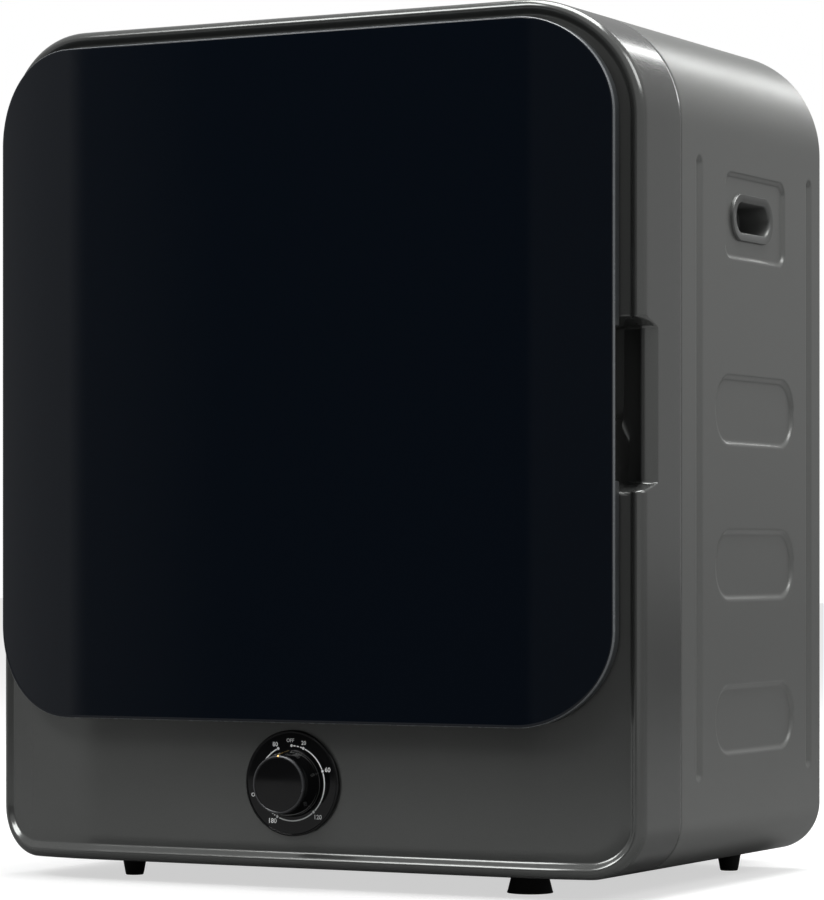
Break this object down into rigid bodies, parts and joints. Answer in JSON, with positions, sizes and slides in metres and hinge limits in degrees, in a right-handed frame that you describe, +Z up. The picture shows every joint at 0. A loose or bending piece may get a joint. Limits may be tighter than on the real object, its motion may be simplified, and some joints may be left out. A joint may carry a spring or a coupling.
{
  "type": "clothes dryer",
  "caption": "Compact vented tumble dryer: grey cabinet, bowed black door, timer dial, drum, belt drive, blower and heater.",
  "frame": {"origin": "centre of the footprint, on the surface that the feet stand on", "axes": "+Z up, +Y from the door to the back, +X to the right as seen from the front"},
  "size_m": [0.5014, 0.4138, 0.5932],
  "materials": {
    "paint": "satin grey metallic enamel",
    "bezel": "moulded grey, semi-gloss",
    "black_gloss": "mirror-gloss black",
    "dark_plastic": "fine-grained dark grey",
    "light_plastic": "plain light grey",
    "dark_steel": "black semi-matt enamel",
    "stainless": "brushed",
    "galvanised": "dull zinc",
    "alloy": "cast or drawn",
    "motor_case": "painted castings and laminations",
    "rubber": "matt black",
    "felt": "pressed wool felt",
    "bronze": "sintered"
  },
  "bodies": {
    "cabinet": {"cabinet_wrap": "paint", "front_bezel": "bezel", "front_bulkhead": "galvanised", "bulkhead_collar": "galvanised", "base_plate": "galvanised", "rear_panel": "dark_steel", "rear_cover": "dark_plastic", "foot_front_left": "rubber", "foot_rear_left": "rubber", "foot_rear_right": "rubber", "levelling_nut": "galvanised", "side_grip_left": "dark_plastic", "side_grip_right": "dark_plastic", "hinge_bracket_lower": "stainless", "hinge_bracket_upper": "stainless", "magnet_catch": "dark_plastic", "door_switch": "light_plastic", "front_drum_seal": "felt", "rear_air_seal": "felt", "bearing_bracket": "alloy", "shaft_bearing": "bronze", "drum_belt": "rubber", "motor_body": "motor_case", "motor_bracket": "galvanised", "tension_stand": "galvanised", "blower_housing": "dark_plastic", "heater_frame": "light_plastic", "ptc_heater": "alloy", "thermostat": "bronze", "exhaust_collar": "dark_plastic", "cord_gland": "rubber", "terminal_box": "light_plastic", "run_capacitor": "alloy", "timer_body": "light_plastic", "dial_plate": "black_gloss"},
    "door": {"door_front_panel": "black_gloss", "door_frame": "dark_plastic", "door_inner_panel": "dark_plastic", "door_seal": "rubber", "hinge_pin_lower": "stainless", "hinge_pin_upper": "stainless", "strike_plate": "stainless"},
    "drum": {"drum_shell": "stainless", "drum_rear_wall": "stainless", "drum_lifter_1": "light_plastic", "drum_lifter_2": "light_plastic", "drum_lifter_3": "light_plastic", "drum_shaft": "stainless"},
    "lint_filter": {"lint_filter_frame": "light_plastic", "lint_filter_mesh": "galvanised"},
    "motor_rotor": {"motor_shaft": "stainless", "motor_pulley": "alloy", "blower_impeller": "dark_plastic"},
    "tensioner": {"tension_arm": "galvanised"},
    "idler": {"idler_wheel": "light_plastic"},
    "knob": {"timer_knob": "black_gloss", "timer_shaft": "stainless"},
    "plunger": {"switch_plunger": "dark_plastic"},
    "intake_cap": {"intake_filter": "dark_plastic"},
    "levelling_screw": {"levelling_foot": "rubber"}
  },
  "joints": [
    {"name": "door_hinge", "type": "hinge", "parent": "cabinet", "child": "door", "pos_m": [-0.2325, -0.1831, 0.3465], "axis": [0, 0, -1], "range_deg": [0, 110]},
    {"name": "drum_spin", "type": "hinge", "parent": "cabinet", "child": "drum", "pos_m": [0, 0.0309, 0.3595], "axis": [0, 1, 0], "continuous": true},
    {"name": "lint_filter_slide", "type": "slide", "parent": "drum", "child": "lint_filter", "axis": [0, -1, 0], "range_m": [0, 0.06]},
    {"name": "motor_spin", "type": "hinge", "parent": "cabinet", "child": "motor_rotor", "pos_m": [0.135, -0.0091, 0.0945], "axis": [0, 1, 0], "continuous": true},
    {"name": "tensioner_pivot", "type": "hinge", "parent": "cabinet", "child": "tensioner", "pos_m": [0.02656, -0.0711, 0.05532], "axis": [0, 1, 0], "range_deg": [0, 10], "stiffness_Nm_per_rad": 0.5},
    {"name": "idler_spin", "type": "hinge", "parent": "tensioner", "child": "idler", "pos_m": [0.05656, -0.0711, 0.10032], "axis": [0, 1, 0], "continuous": true},
    {"name": "timer_knob_turn", "type": "hinge", "parent": "cabinet", "child": "knob", "pos_m": [-0.003, -0.1991, 0.0725], "axis": [0, 1, 0], "range_deg": [0, 340]},
    {"name": "switch_plunger_press", "type": "slide", "parent": "cabinet", "child": "plunger", "axis": [0, 1, 0], "range_m": [0, 0.0025], "stiffness_N_per_m": 200},
    {"name": "intake_filter_slide", "type": "slide", "parent": "cabinet", "child": "intake_cap", "axis": [0, 1, 0], "range_m": [0, 0.03]},
    {"name": "levelling_foot_screw", "type": "slide", "parent": "cabinet", "child": "levelling_screw", "axis": [0, 0, -1], "range_m": [0, 0.008]}
  ],
  "couplings": [
    {"joint": "motor_spin", "follows": "drum_spin", "ratio": 22.778},
    {"joint": "idler_spin", "follows": "drum_spin", "ratio": -17.083}
  ]
}
